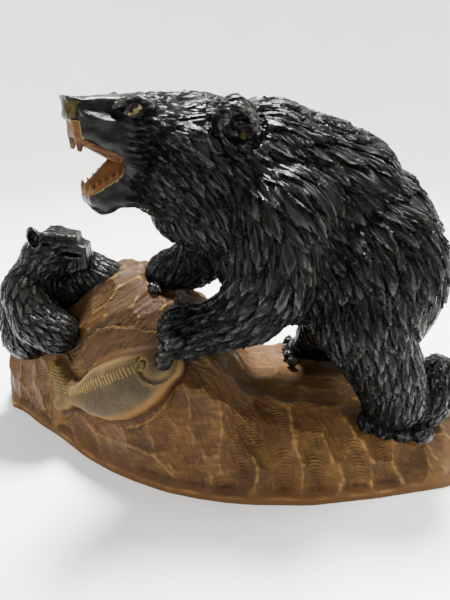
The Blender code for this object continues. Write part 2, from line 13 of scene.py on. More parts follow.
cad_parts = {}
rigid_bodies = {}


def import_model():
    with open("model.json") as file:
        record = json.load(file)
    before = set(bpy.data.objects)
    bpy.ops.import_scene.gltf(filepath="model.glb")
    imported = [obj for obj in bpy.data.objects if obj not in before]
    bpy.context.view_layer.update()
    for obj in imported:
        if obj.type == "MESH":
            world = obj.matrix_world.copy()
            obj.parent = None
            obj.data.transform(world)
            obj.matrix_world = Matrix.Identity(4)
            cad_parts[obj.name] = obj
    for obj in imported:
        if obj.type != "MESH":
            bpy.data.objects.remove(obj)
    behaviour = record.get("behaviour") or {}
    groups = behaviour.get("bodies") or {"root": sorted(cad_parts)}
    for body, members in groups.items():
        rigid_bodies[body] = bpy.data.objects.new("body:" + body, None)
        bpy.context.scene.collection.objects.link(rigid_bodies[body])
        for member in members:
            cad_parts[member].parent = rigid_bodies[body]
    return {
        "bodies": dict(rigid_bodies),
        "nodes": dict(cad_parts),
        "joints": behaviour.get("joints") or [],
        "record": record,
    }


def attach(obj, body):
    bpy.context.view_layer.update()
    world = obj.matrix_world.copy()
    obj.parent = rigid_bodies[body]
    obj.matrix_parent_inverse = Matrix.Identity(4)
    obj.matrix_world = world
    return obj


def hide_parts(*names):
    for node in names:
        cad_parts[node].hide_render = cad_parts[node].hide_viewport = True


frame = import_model()

# Driving dimensions, in metres
BLOCK_LENGTH = 0.480
UNDERSIDE_TRIM = 0.004
PLAIN_FOOT = 0.006
RIPPLE_PITCH = 0.0030
RIPPLE_DEPTH = 0.0007
RIPPLED_SHARE = 0.55
UPPER_TEETH = 6
LOWER_TEETH = 5
CRISP_ANGLE = 38
TAIL_ROOT = 8
GILL = (-66, 108, 15)
FISH_EYE = (-77, 104)
BAR_PITCH = 3.1
EVEN_SMOOTHING = 24

# Marks of the tools: length, width, and how far they rise or sink, in metres
LOCK = (0.040, 0.016, 0.0038)
CUB_LOCK = (0.020, 0.009, 0.0018)
SCOOP = (0.050, 0.030, 0.0056)
TUFT = (0.046, 0.0092, 0.0032)
STROKE = (0.034, 0.0032, 0.0008)
FACET = (0.014, 0.008, 0.0007)
MARK = (0.022, 0.0042, 0.0008)
CUB_STROKE = (0.014, 0.0026, 0.0007)

# How near two marks may lie, as shares of their length and width, and the smallest one made
APART_ALONG = 0.52
APART_ACROSS = 0.80
SMALLEST = 0.25

# The camera, in metres, degrees and millimetres of lens
CAMERA_AT = (-0.010, -0.387, 0.330)
CAMERA_TILT = 25
LENS = 29.16
SENSOR = 36
ROOM_LIGHT = 0.20

# The drawing's scale
DRAWN_LENGTH = 480
MM = BLOCK_LENGTH / DRAWN_LENGTH

# How finely the forms are worked
ROUGH_VOXEL = 0.0036
EVEN_VOXEL = 0.0018
BEAR_VOXEL = 0.00098
CUB_VOXEL = 0.00080
ROCK_VOXEL = 0.00125
MOUTH_VOXEL = 0.00050
MOST_TRIANGLES = 190000
MOST_CANDIDATES = 60000
CUB_TRIANGLES = 110000
MOUTH_TRIANGLES = 60000

# The bear's head turns about this upright line, towards the front
HEAD_AT = (-27, 0, 0)
HEAD_TURN = 212
STANDING = Matrix.Identity(4)
HEAD = Matrix.Translation(Vector(HEAD_AT) * MM) @ Matrix.Rotation(math.radians(HEAD_TURN), 4, "Z")

SIDES = (1, -1)
SEGMENTS = 24
FINE_SEGMENTS = 12


# Helpers for rough forms


def placing(at, size, frame, turn, tilt):
    """Where a ball of radius 1 goes. tilt lifts its +X end and turn swings it about Z."""
    matrix = frame @ Matrix.Translation(Vector(at) * MM)
    matrix = matrix @ Matrix.Rotation(math.radians(turn), 4, "Z")
    matrix = matrix @ Matrix.Rotation(-math.radians(tilt), 4, "Y")
    return matrix @ Matrix.Diagonal((*(Vector(size) * MM), 1.0))


def ball(shape, at, size, frame=STANDING, turn=0.0, tilt=0.0, sides=SEGMENTS):
    """Adds an ellipsoid with half-sizes size."""
    matrix = placing(at, size, frame, turn, tilt)
    bmesh.ops.create_uvsphere(shape, u_segments=sides, v_segments=2 * sides // 3, radius=1.0, matrix=matrix)


def taper(shape, start, end, radii, segments, frame):
    """Adds a closed cone from one place to another, with its two radii."""
    a = frame @ (Vector(start) * MM)
    b = frame @ (Vector(end) * MM)
    turn = (b - a).to_track_quat("Z", "Y").to_matrix().to_4x4()
    bmesh.ops.create_cone(
        shape,
        cap_ends=True,
        segments=segments,
        radius1=radii[0] * MM,
        radius2=radii[1] * MM,
        depth=(b - a).length,
        matrix=Matrix.Translation((a + b) / 2) @ turn,
    )


def limb(shape, *stations, frame=STANDING, sides=SEGMENTS):
    """Adds balls at stations (x, y, z, radius) with a tapered length between each two."""
    for x, y, z, radius in stations:
        ball(shape, (x, y, z), (radius, radius, radius), frame, sides=sides)
    for start, end in zip(stations, stations[1:]):
        taper(shape, start[:3], end[:3], (start[3], end[3]), sides, frame)


def hewn(shape, back, front, frame=STANDING):
    """Adds a tapered block along X. back and front are (x, low z, high z, half width)."""
    made = bmesh.ops.create_cube(shape, size=2.0)
    for corner in made["verts"]:
        x, low, high, half = front if corner.co.x > 0 else back
        place = Vector((x, half * corner.co.y, high if corner.co.z > 0 else low))
        corner.co = frame @ (place * MM)


def spike(shape, root, tip, radius, frame=STANDING):
    """Adds a pointed cone, such as a tooth or a claw."""
    taper(shape, root, tip, (radius, 0.3 * radius), FINE_SEGMENTS, frame)


def added(name, data):
    """A new object in the scene that holds a mesh, a lamp or a camera."""
    obj = bpy.data.objects.new(name, data)
    bpy.context.scene.collection.objects.link(obj)
    return obj


def from_shape(shape, name):
    """A new object that holds a bmesh, which is freed."""
    mesh = bpy.data.meshes.new(name)
    shape.to_mesh(mesh)
    shape.free()
    return added(name, mesh)


def settled(obj):
    """Gives an object the mesh that its modifiers make, and removes them."""
    depsgraph = bpy.context.evaluated_depsgraph_get()
    mesh = bpy.data.meshes.new_from_object(obj.evaluated_get(depsgraph))
    obj.modifiers.clear()
    obj.data = mesh
    return obj


def skinned(obj, voxel, smoothing):
    """One closed skin round everything in an object, with its joins blended."""
    remesh = obj.modifiers.new("One skin", "REMESH")
    remesh.mode = "VOXEL"
    remesh.voxel_size = voxel
    smooth = obj.modifiers.new("Blend", "SMOOTH")
    smooth.factor = 0.5
    smooth.iterations = smoothing
    return settled(obj)


def with_more(obj, shape):
    """Adds the forms of a bmesh to an object's own mesh."""
    shape.from_mesh(obj.data)
    shape.to_mesh(obj.data)
    shape.free()


# The rock. Each station is x, the front foot's y, the crest's front and back y, the back foot's y
# and the crest's height.
ROCK = (
    (-250, 64, 72, 78, 92, 36),
    (-244, 46, 62, 88, 103, 60),
    (-225, 36, 56, 84, 108, 76),
    (-200, 14, 46, 82, 110, 92),
    (-175, -4, 40, 80, 111, 116),
    (-140, -34, 40, 76, 112, 148),
    (-112, -52, 38, 72, 112, 164),
    (-90, -63, 32, 70, 112, 162),
    (-62, -75, 18, 66, 112, 146),
    (-35, -82, 2, 64, 111, 128),
    (-14, -86, -8, 62, 110, 112),
    (2, -88, -14, 66, 109, 84),
    (14, -89, -14, 74, 108, 64),
    (60, -90, -20, 78, 106, 60),
    (120, -82, -34, 76, 100, 54),
    (188, -69, -40, 60, 84, 45),
    (216, -50, -26, 42, 62, 36),
    (230, -28, -14, 24, 36, 26),
)
FRONT_BULGE = 1.25
ROCK_SECTIONS = 64
ROCK_STEPS = 16


def rock_outline(x):
    """The (y, z) points of the rock's section at x, from its front foot over to its back foot."""
    at, *rows = np.array(ROCK, float).T
    foot, crest_front, crest_back, back, height = [np.interp(x, at, row) for row in rows]
    angles = np.linspace(0, math.pi / 2, ROCK_STEPS)
    rise = height * np.sin(angles) ** FRONT_BULGE
    front = crest_front - (crest_front - foot) * np.cos(angles) ** FRONT_BULGE
    behind = crest_back + (back - crest_back) * np.cos(angles[::-1])
    ys = np.concatenate([front, behind])
    zs = np.concatenate([rise, height * np.sin(angles[::-1])])
    low = -UNDERSIDE_TRIM / MM
    return [(foot, low), *zip(ys, zs), (back, low)]


def rock_form():
    """The rough rock: sections lofted along X, closed at both ends and below."""
    shape = bmesh.new()
    rings = []
    for x in np.linspace(ROCK[0][0], ROCK[-1][0], ROCK_SECTIONS):
        rings.append([shape.verts.new(Vector((x, y, z)) * MM) for y, z in rock_outline(x)])
    for one, two in zip(rings, rings[1:]):
        for i in range(len(one)):
            j = (i + 1) % len(one)
            shape.faces.new((one[i], one[j], two[j], two[i]))
    shape.faces.new(rings[0][::-1])
    shape.faces.new(rings[-1])
    bmesh.ops.recalc_face_normals(shape, faces=shape.faces)
    return shape


# The bear


def bear_body(shape):
    """Trunk, neck, chest and the roots of the legs."""
    ball(shape, (104, 0, 197), (58, 59, 70))
    ball(shape, (126, 0, 188), (44, 52, 54))
    ball(shape, (81, 0, 223), (53, 54, 69))
    ball(shape, (50, 0, 216), (76, 58, 86))
    ball(shape, (20, 0, 248), (58, 54, 65))
    ball(shape, (-8, -4, 234), (48, 44, 42))
    ball(shape, (-29, -6, 230), (40, 38, 27))
    limb(shape, (0, 0, 262, 49), (-28, -10, 270, 40))


def bear_legs(shape):
    """The near legs, one paw on the salmon, and the far ones, both a step further forward."""
    limb(shape, (34, -30, 236, 42), (26, -42, 184, 34), (10, -46, 162, 27))
    limb(shape, (10, -46, 162, 27), (-18, -46, 148, 20), (-38, -45, 141, 20))
    ball(shape, (-42, -44, 142), (23, 20, 24))
    ball(shape, (108, -34, 180), (56, 36, 66))
    limb(shape, (98, -40, 152, 38), (122, -42, 110, 31), (136, -42, 78, 27))
    limb(shape, (184, -16, 78, 22), (164, -32, 66, 25), (136, -36, 62, 24))
    limb(shape, (14, 28, 232, 40), (-16, 42, 192, 30), (-42, 47, 165, 24), (-64, 46, 160, 19))
    ball(shape, (-64, 46, 160), (22, 20, 17))
    ball(shape, (106, 36, 178), (54, 34, 62))
    limb(shape, (94, 42, 140, 34), (92, 52, 105, 26), (84, 58, 82, 20))
    limb(shape, (116, 54, 76, 20), (70, 60, 66, 13))


def bear_head(shape):
    """Skull, cheeks, muzzle and open lower jaw, in the head's own frame."""
    ball(shape, (10, 0, 279), (48, 43, 38), HEAD)
    ball(shape, (38, 0, 297), (30, 31, 21), HEAD)
    ball(shape, (24, 20, 262), (36, 21, 30), HEAD)
    ball(shape, (24, -20, 262), (36, 21, 30), HEAD)
    ball(shape, (32, 0, 258), (34, 34, 28), HEAD)
    ball(shape, (16, 0, 287), (40, 47, 24), HEAD)
    hewn(shape, (40, 262, 294, 28), (97, 292, 310, 14), HEAD)
    hewn(shape, (40, 288, 318, 16), (98, 304, 317, 9), HEAD)
    hewn(shape, (40, 241, 288, 27), (95, 246, 256, 12), HEAD)
    for side in SIDES:
        ball(shape, (61, side * 19, 273), (11, 6, 11), HEAD)
        ball(shape, (57, side * 15, 301), (15, 9, 9), HEAD)
    ball(shape, (82, 0, 247), (11, 15, 10), HEAD)


def bear_face(shape):
    """Nose, brows, eyes, ears, tongue and teeth, in the head's own frame."""
    hewn(shape, (84, 301, 315, 11), (102, 303, 318, 8), HEAD)
    hewn(shape, (84, 287, 303, 14), (99, 292, 304, 9), HEAD)
    limb(shape, (66, 0, 270, 11), (88, 0, 257, 7), frame=HEAD)
    for side in SIDES:
        ball(shape, (56, side * 17, 309), (12, 7, 6), HEAD, turn=side * -20)
        ball(shape, (63, side * 19, 308), (5.5, 4, 3), HEAD, turn=side * -20)
        ball(shape, (1, side * 46, 299), (16, 11, 18), HEAD, turn=side * -20)
        spike(shape, (95, side * 8, 296), (97, side * 8, 284), 4.4, HEAD)
        spike(shape, (92, side * 9, 252), (93, side * 9, 262), 3.4, HEAD)


def toes(shape, at, spread, reach, radius, claw):
    """Four toes in a fan round a paw. spread and reach are the fan's side and forward vectors."""
    at, spread, reach = Vector(at), Vector(spread), Vector(reach)
    for share in (-0.75, -0.25, 0.25, 0.75):
        toe = at + share * spread + (1 - 0.35 * share * share) * reach
        ball(shape, toe, (radius, radius, radius))
        spike(shape, toe + 0.3 * reach, toe + claw * reach.normalized(), 0.5 * radius)


def bear_toes(shape):
    """The toes of the four paws."""
    toes(shape, (-46, -46, 138), (8, -14, 22), (-11, -8, -12), 8, 10)
    toes(shape, (-66, 46, 158), (0, 28, 3), (-12, -2, -7), 7, 8)
    toes(shape, (142, -42, 53), (28, -10, 0), (-5, -9, -4), 10, 12)
    toes(shape, (68, 58, 65), (0, 28, 0), (-11, 0, -3), 6, 7)


# The cub, whose muzzle is hewn in a frame of its own with its middle at y = 0
CUB_FACE = Matrix.Translation(Vector((0, 36, 0)) * MM)
CUB_MUZZLE = (
    ((-176, 160, 198, 18), (-134, 168, 190, 11)),
    ((-172, 182, 204, 15), (-141, 180, 200, 10)),
)


def cub_form():
    """The cub, climbing the rock's left end with its head raised to its mother, and its skin."""
    shape = bmesh.new()
    limb(shape, (-203, 48, 102, 31), (-197, 44, 134, 30), (-184, 38, 156, 26))
    ball(shape, (-204, 40, 98), (27, 32, 29))
    ball(shape, (-173, 34, 176), (25, 23, 22))
    ball(shape, (-166, 46, 146), (24, 20, 26))
    limb(shape, (-192, 20, 150, 22), (-182, 8, 126, 23), (-164, 4, 115, 21))
    limb(shape, (-170, 50, 158, 20), (-142, 50, 158, 20), (-124, 48, 152, 18))
    cub = skinned(from_shape(shape, "cub"), ROUGH_VOXEL, 4)
    rough = surface(cub)
    shape = bmesh.new()
    for block in CUB_MUZZLE:
        hewn(shape, *block, CUB_FACE)
    ball(shape, (-177, 21, 199), (9, 5, 12), turn=-30, tilt=20)
    ball(shape, (-164, 49, 196), (8, 5, 8), turn=20)
    with_more(cub, shape)
    return skinned(cub, EVEN_VOXEL, 3), rough


# The salmon in relief on the rock. Its stations are x, z, half width and relief, from the head,
# which is held under the bear's near paw, to the two tips of the tail fin.
SALMON = (
    (-56, 105, 11, 11),
    (-63, 102, 14, 12),
    (-72, 97, 18, 14),
    (-88, 88, 22, 15),
    (-104, 79, 23, 15),
    (-118, 72, 21, 13),
    (-130, 66, 16, 12),
    (-141, 62, 10, 10),
    (-149, 60, 9, 9),
    (-161, 58, 18, 9),
    (-173, 57, 25, 8),
)
TAIL_NOTCH = 14
HOLLOW_ABOVE = 1.1
HOLLOW_BELOW = 0.4
HOLLOW_DEPTH = 5


def along_salmon(points):
    """For each point, its place along the salmon, its offset to the belly, the width and relief."""
    line = np.array(SALMON, float)
    x, z = points[:, 0] / MM, points[:, 2] / MM
    best = np.full(len(points), 1e9)
    found = np.empty((4, len(points)))
    for i, (a, b) in enumerate(zip(line, line[1:])):
        step = b[:2] - a[:2]
        length = np.hypot(*step)
        dx, dz = x - a[0], z - a[1]
        share = np.clip((dx * step[0] + dz * step[1]) / length**2, 0, 1)
        gap = np.hypot(dx - share * step[0], dz - share * step[1])
        near = gap < best
        best[near] = gap[near]
        side = np.sign(dz * step[0] - dx * step[1])
        here = (i + share, gap * side, a[2] + share * (b[2] - a[2]), a[3] + share * (b[3] - a[3]))
        found[:, near] = np.stack(here)[:, near]
    return found


def salmon_relief(points, normals):
    """How far the salmon stands out of the rock's front at each point, in metres."""
    _, across, width, relief = along_salmon(points)
    share = np.abs(across) / width
    rise = relief * np.sqrt(1 - np.clip(share, 0, 1) ** 2)
    reach = np.where(across < 0, HOLLOW_ABOVE, HOLLOW_BELOW)
    out = np.clip((share - 1) / reach, 0, 1)
    rise -= HOLLOW_DEPTH * np.minimum(1, 4 * out) * (1 - out) ** 0.3
    last = np.array(SALMON[-1][:2]) - SALMON[-2][:2]
    ahead = (points[:, ::2] / MM - SALMON[-2][:2]) @ last / (last @ last)
    notch = ahead > 1 - np.clip(1 - np.abs(across) / TAIL_NOTCH, 0, 1)
    rise[notch | (normals[:, 1] > 0)] = 0
    return rise * MM


# Carving: locks of fur and scoops of the gouge, both laid along a flow over the surface


def surface(obj):
    """The vertices of an object and their normals, as arrays."""
    mesh = obj.data
    points = np.empty(len(mesh.vertices) * 3)
    mesh.vertices.foreach_get("co", points)
    normals = np.empty(len(mesh.vertices) * 3)
    mesh.vertex_normals.foreach_get("vector", normals)
    return points.reshape(-1, 3), normals.reshape(-1, 3)


def reshaped(obj, points):
    """Puts the vertices of an object at new points."""
    obj.data.vertices.foreach_set("co", points.ravel())
    obj.data.update()


def pushed(obj, rise):
    """Moves the vertices of an object along their normals."""
    points, normals = surface(obj)
    reshaped(obj, points + normals * rise[:, None])


# Which way the bear's fur lies: a place, the direction there and the size of the locks. Those of
# the trunk and legs are given for the front side and serve for the back side as well.
TRUNK_FLOW = (
    (15, 0, 310, 1, 0, -0.1, 1.0),
    (60, 0, 304, 1, 0, -0.2, 1.0),
    (100, 0, 285, 0.9, 0, -0.5, 1.0),
    (145, 0, 252, 0.7, 0, -0.8, 1.0),
    (172, 0, 205, 0.2, 0, -1, 1.0),
    (165, 0, 160, 0, 0, -1, 0.9),
    (20, -40, 285, 0.9, -0.2, -0.5, 1.0),
    (60, -56, 255, 0.8, -0.1, -0.7, 1.1),
    (60, -60, 205, 0.6, 0, -0.8, 1.0),
    (110, -55, 235, 0.6, 0, -0.8, 1.1),
    (140, -45, 190, 0.2, 0, -1, 1.0),
    (100, -68, 170, 0.2, 0, -1, 0.8),
    (110, -70, 130, 0.2, 0, -1, 0.6),
    (130, -60, 95, 0.1, 0, -1, 0.5),
    (150, -55, 60, -0.4, -0.5, -0.4, 0.35),
    (20, -70, 225, 0.4, 0, -0.9, 1.0),
    (20, -75, 185, -0.5, 0, -0.9, 0.8),
    (10, -70, 165, -0.85, 0, -0.5, 0.6),
    (-20, -68, 150, -0.9, 0, -0.3, 0.5),
    (-45, -64, 140, -0.9, 0, -0.5, 0.35),
    (0, -46, 275, 0.8, -0.2, -0.6, 1.0),
    (-8, -50, 245, 0.4, -0.2, -0.9, 1.0),
    (-45, -15, 215, 0.4, 0, -0.9, 0.6),
    (50, -20, 125, 0.9, 0, -0.1, 0.5),
)
HEAD_FLOW = (
    (86, 0, 318, -1, 0, 0, 0),
    (70, 18, 300, -1, 0, -0.1, 0),
    (78, 16, 288, -1, 0, -0.1, 0),
    (84, 0, 250, -1, 0, 0, 0),
    (70, 18, 250, -1, 0, -0.2, 0.3),
    (50, 0, 318, -1, 0, 0.1, 0.6),
    (20, 0, 318, -1, 0, 0, 0.8),
    (-15, 0, 312, -1, 0, -0.2, 1.0),
    (48, 30, 300, -0.7, 0, -0.7, 0.7),
    (30, 42, 285, -0.5, 0, -0.9, 1.0),
    (20, 46, 262, -0.35, 0, -1, 0.9),
    (64, 24, 304, -0.9, 0, -0.4, 0),
    (64, 26, 288, -0.7, 0, -0.7, 0),
    (62, 27, 270, -0.5, 0, -0.9, 0),
    (46, 29, 262, -0.5, 0, -0.9, 0.6),
    (48, 25, 250, -0.9, 0, -0.4, 0.4),
    (0, 50, 318, -0.9, 0.2, 0, 0.55),
    (16, 50, 300, 0, 0.4, 0.9, 0.45),
    (-16, 50, 298, -0.3, 0.2, -0.9, 0.55),
    (40, 0, 236, -0.9, 0, -0.4, 0.5),
)
CUB_FLOW = (
    (-150, 36, 202, -1, 0, 0, 0.3),
    (-145, 18, 182, -1, 0, 0, 0.3),
    (-185, 36, 202, -0.9, 0, -0.4, 0.8),
    (-190, 15, 175, -0.3, 0, -0.9, 1.0),
    (-215, 30, 140, -0.1, 0, -1, 1.0),
    (-232, 45, 110, 0, 0, -1, 1.0),
    (-215, 10, 95, 0.3, 0, -0.9, 1.0),
    (-180, -8, 125, 0.6, 0, -0.7, 0.8),
    (-155, -10, 108, 0.9, 0, -0.4, 0.7),
    (-150, 40, 175, 0.9, 0, -0.1, 0.7),
    (-120, 45, 160, 0.8, 0, -0.5, 0.7),
)
FLOW_REACH = 24


def mirrored(flow):
    """A flow with its other side added."""
    return np.array([row for x, y, *rest in flow for row in ((x, y, *rest), (x, -y, *rest))])


def bear_flow():
    """The bear's flow, with the guides of her head turned with it."""
    head = mirrored(HEAD_FLOW)
    turn = np.array(Matrix.Rotation(math.radians(HEAD_TURN), 3, "Z"))
    head[:, :3] = head[:, :3] @ turn.T + np.array(HEAD_AT)
    head[:, 3:6] = head[:, 3:6] @ turn.T
    return np.concatenate([mirrored(TRUNK_FLOW), head])


def flow_at(points, normals, guides):
    """The direction along the surface and the lock size at each point."""
    weights = np.zeros((len(points), len(guides)))
    for i, guide in enumerate(guides):
        gap = ((points / MM - guide[:3]) ** 2).sum(axis=1)
        weights[:, i] = np.exp(-gap / (2 * FLOW_REACH**2)) + 1e-12 / (1 + gap)
    weights /= weights.sum(axis=1, keepdims=True)
    lie = weights @ guides[:, 3:6]
    lie -= normals * (lie * normals).sum(axis=1, keepdims=True)
    lie /= np.linalg.norm(lie, axis=1, keepdims=True) + 1e-9
    return lie, weights @ guides[:, 6]


def placed_locks(rough, guides, sizes, seed, most=None):
    """Lock places chosen at random over a rough skin, none too near another in its own lie."""
    length, width, _ = sizes
    points, normals = rough
    lie, size = flow_at(points, normals, guides)
    sides = np.cross(normals, lie)
    cell = max(APART_ALONG * length, width) * size.max()
    keys = np.floor(points / cell).astype(int)
    order = np.random.default_rng(seed).permutation(len(points))[:most]
    chosen = []
    kept = {}
    steps = list(product((-1, 0, 1), repeat=3))
    for i in order:
        if size[i] < SMALLEST:
            continue
        x, y, z = keys[i]
        close = [n for a, b, c in steps for n in kept.get((x + a, y + b, z + c), ())]
        if close:
            apart = points[close] - points[i]
            along = apart @ lie[i]
            across = apart @ sides[i]
            depth = apart @ normals[i]
            gap = (along / (APART_ALONG * length)) ** 2 + (across / (APART_ACROSS * width)) ** 2
            gap += (depth / width) ** 2
            if gap.min() < size[i] ** 2:
                continue
        chosen.append(i)
        kept.setdefault((x, y, z), []).append(i)
    return [(points[i], normals[i], lie[i], size[i]) for i in chosen]


def cells_of(points, cell):
    """Which vertices lie in each cubic cell of space."""
    keys = np.floor(points / cell).astype(int)
    order = np.lexsort(keys.T)
    keys = keys[order]
    starts = np.flatnonzero(np.r_[True, (np.diff(keys, axis=0) != 0).any(axis=1)])
    ends = np.r_[starts[1:], len(order)]
    return {tuple(keys[a]): order[a:b] for a, b in zip(starts, ends)}


def near(cells, cell, at, reach):
    """The vertices in the cells that a cube round a place touches."""
    low = np.floor((at - reach) / cell).astype(int)
    high = np.floor((at + reach) / cell).astype(int)
    keys = product(*[range(first, last + 1) for first, last in zip(low, high)])
    found = [cells[key] for key in keys if key in cells]
    return np.concatenate(found) if found else np.empty(0, int)


def started(surface_of, length, seed):
    """Random draws, a skin with the cells that find its vertices near a mark, and no rise yet."""
    cell = length / 2
    skin = (*surface_of, cells_of(surface_of[0], cell), cell)
    return np.random.default_rng(seed), skin, np.zeros(len(surface_of[0]))


def swung(normal, lie, swing=0.0):
    """The ways along and across a mark, turned about the normal by a swing."""
    along = math.cos(swing) * lie + math.sin(swing) * np.cross(normal, lie)
    return along, np.cross(normal, along)


def footprint(skin, at, normal, ways, spread, reach, facing, deep=9):
    """The vertices round a mark, and how far they lie along and across it, from -1 to 1.

    spread is its length and width. Vertices that face another way or lie too deep are left out.
    """
    points, normals, cells, cell = skin
    ids = near(cells, cell, at, reach * spread[0])
    apart = points[ids] - at
    fits = (normals[ids] @ normal > facing) & (np.abs(apart @ normal) < deep * spread[0])
    ids, apart = ids[fits], apart[fits]
    return ids, 2 * apart @ ways[0] / spread[0], 2 * apart @ ways[1] / spread[1]


def locks_relief(surface_of, places, sizes, seed, middle=1.0, rim=0.45, lay=None):
    """Leaf-shaped locks that rise towards a pointed tip, the highest winning where they overlap.

    middle and rim are the shares of the height along a lock's middle and along its edges. lay is
    given, for each vertex, its way across and along its lock and a number of the lock's own.
    """
    length, width, relief = sizes
    rng, skin, rise = started(surface_of, length, seed)
    for number, (at, normal, lie, size) in enumerate(places):
        ways = swung(normal, lie, rng.normal(0, 0.10))
        spread = (length * size * rng.uniform(0.8, 1.25), width * size * rng.uniform(0.85, 1.2))
        height = relief * size * rng.uniform(0.6, 1.25)
        ids, along, across = footprint(skin, at, normal, ways, spread, 0.6, 0.2, 0.6)
        along = np.clip(along / 2 + 0.5, 0, 1)
        leaf = np.minimum(1, 1.6 * along**0.5) * np.minimum(1, 2.4 * (1 - along)) ** 0.8
        inside = np.abs(across) < leaf
        ids, along, across, leaf = ids[inside], along[inside], across[inside], leaf[inside]
        crown = middle + (rim - middle) * (across / leaf) ** 2
        high = height * along**1.2 * crown
        wins = high > rise[ids]
        rise[ids[wins]] = high[wins]
        if lay is not None:
            lay[ids[wins], 0] = across[wins] * spread[1] / 2
            lay[ids[wins], 1] = along[wins] * spread[0]
            lay[ids[wins], 2] = number % 97
    return rise


def scoops_relief(surface_of, places, sizes, seed):
    """Shallow oval hollows left by a wide gouge, the deepest winning where they overlap."""
    length, width, depth = sizes
    rng, skin, rise = started(surface_of, length, seed)
    for at, normal, lie, size in places:
        spread = (length * size * rng.uniform(0.9, 1.25), width * size * rng.uniform(0.95, 1.25))
        scoop_depth = depth * size * rng.uniform(0.75, 1.2)
        ids, along, across = footprint(skin, at, normal, swung(normal, lie), spread, 0.55, 0.5)
        bowl = np.clip(1 - along**2 - across**2, 0, 1)
        rise[ids] = np.minimum(rise[ids], -scoop_depth * bowl**0.85)
    return rise


# The way the gouge was drawn over the rock: down the slope, and slanting round the salmon
ROCK_FLOW = (
    (-240, 50, 50, 0, 0, -1, 0.9),
    (-190, 10, 60, 0.2, 0, -1, 0.9),
    (-150, -10, 110, 1, 0, 0.8, 1.0),
    (-110, -10, 130, 0.8, 0, 1, 1.0),
    (-100, 50, 165, 0.4, 0, 1, 0.5),
    (-75, -20, 135, 0.5, 0, 1, 0.9),
    (-110, -55, 25, 1, 0, -0.4, 1.0),
    (-40, -60, 70, 0.4, 0, -1, 1.0),
    (0, -70, 50, 0.1, 0, -1, 1.0),
    (60, -60, 40, 0, 0, -1, 1.0),
    (120, -70, 30, 0.1, 0, -1, 0.9),
    (190, -60, 25, 0.6, 0, -0.6, 0.9),
    (40, 30, 64, 1, 0, 0, 0.9),
    (60, 107, 30, 0.1, 0, -1, 1.0),
    (-60, 112, 80, 0, 0, -1, 1.0),
    (-200, 110, 60, 0, 0, -1, 1.0),
)


# Finer carving, for the visible pieces alone


def in_head(points):
    """Points in the head's own frame, in drawn millimetres: forward, to the near side and up."""
    turn = np.array(HEAD.to_3x3())
    return (points - np.array(HEAD.translation)) @ turn / MM


def strokes_relief(surface_of, places, sizes, seed):
    """Narrow grooves of a small gouge, entered gently and left abruptly."""
    length, width, depth = sizes
    rng, skin, rise = started(surface_of, length, seed)
    for at, normal, lie, size in places:
        ways = swung(normal, lie, rng.normal(0, 0.12))
        share = 0.55 + 0.45 * size
        spread = (length * share * rng.uniform(0.7, 1.4), width * share * rng.uniform(0.8, 1.25))
        groove_depth = depth * share * rng.uniform(0.6, 1.2)
        ids, along, across = footprint(skin, at, normal, ways, spread, 0.6, 0.3, 0.3)
        along = np.clip(along / 2 + 0.5, 0, 1)
        trough = np.clip(1 - across**2, 0, 1) * np.minimum(1, 2.5 * along) * np.minimum(1, 6 * (1 - along))
        rise[ids] = np.minimum(rise[ids], -groove_depth * trough)
    return rise


def strokes_over(skin, flow, sizes, seed):
    """Strokes placed at random all over a skin."""
    return strokes_relief(skin, placed_locks(skin, flow, sizes, seed, MOST_CANDIDATES), sizes, seed + 1)


def waves(at, pitch):
    """Waves of a pitch, from 0 to 1."""
    return 0.5 + 0.5 * np.cos(2 * math.pi * at / pitch)


def coat_masks(relief, lay):
    """The masks of a coat: its relief from 0 to 1, and the measures of its locks."""
    return {"relief": np.clip(relief, 0, 1), **dict(zip(("across", "along", "lock"), lay.T))}


def set_mask(obj, name, values):
    """Stores a number at each vertex for the materials to read."""
    made = obj.data.attributes.new(name, "FLOAT", "POINT")
    made.data.foreach_set("value", np.asarray(values, dtype=np.float32))


def bend_mask(obj, soft, wide):
    """1 on a ridge, 0 in a groove and a half where the surface is flat.

    What soft rounds of smoothing take off is left out; what wide more rounds take off counts.
    """
    points, normals = surface(obj)
    count = len(points)
    ends = np.empty(2 * len(obj.data.edges), dtype=int)
    obj.data.edges.foreach_get("vertices", ends)
    one, two = ends.reshape(-1, 2).T
    one, two = np.r_[one, two], np.r_[two, one]
    ties = np.maximum(np.bincount(one, minlength=count), 1)

    def around(values):
        return np.bincount(one, weights=values[two], minlength=count) / ties

    middle = points
    for i in range(soft + wide):
        if i == soft:
            points = middle
        middle = np.stack([around(middle[:, k]) for k in range(3)], axis=1)
    bend = ((points - middle) * normals).sum(axis=1)
    return np.clip(0.5 + 0.5 * bend / np.percentile(np.abs(bend), 96), 0, 1)


def masks_after(obj, points, masks):
    """Gives an object masks that were worked out on its finer mesh, from the nearest vertex."""
    tree = KDTree(len(points))
    for i, point in enumerate(points):
        tree.insert(point, i)
    tree.balance()
    left, _ = surface(obj)
    nearest = np.array([tree.find(point)[1] for point in left])
    for name, values in masks.items():
        set_mask(obj, name, values[nearest])


def fewer(obj, count):
    """Merges the flatter faces of an object until about count triangles are left."""
    triangles = sum(len(face.vertices) - 2 for face in obj.data.polygons)
    if triangles > count:
        decimate = obj.modifiers.new("Fewer faces", "DECIMATE")
        decimate.ratio = count / triangles
        settled(obj)


def finished(obj, count, soft, masks):
    """Thins a carved mesh, carries its masks over and shades it with crisp carved edges."""
    points, _ = surface(obj)
    masks["bend"] = bend_mask(obj, soft, 6)
    fewer(obj, count)
    masks_after(obj, points, masks)
    obj.data.shade_smooth()
    obj.data.set_sharp_from_angle(angle=math.radians(CRISP_ANGLE))
    return obj


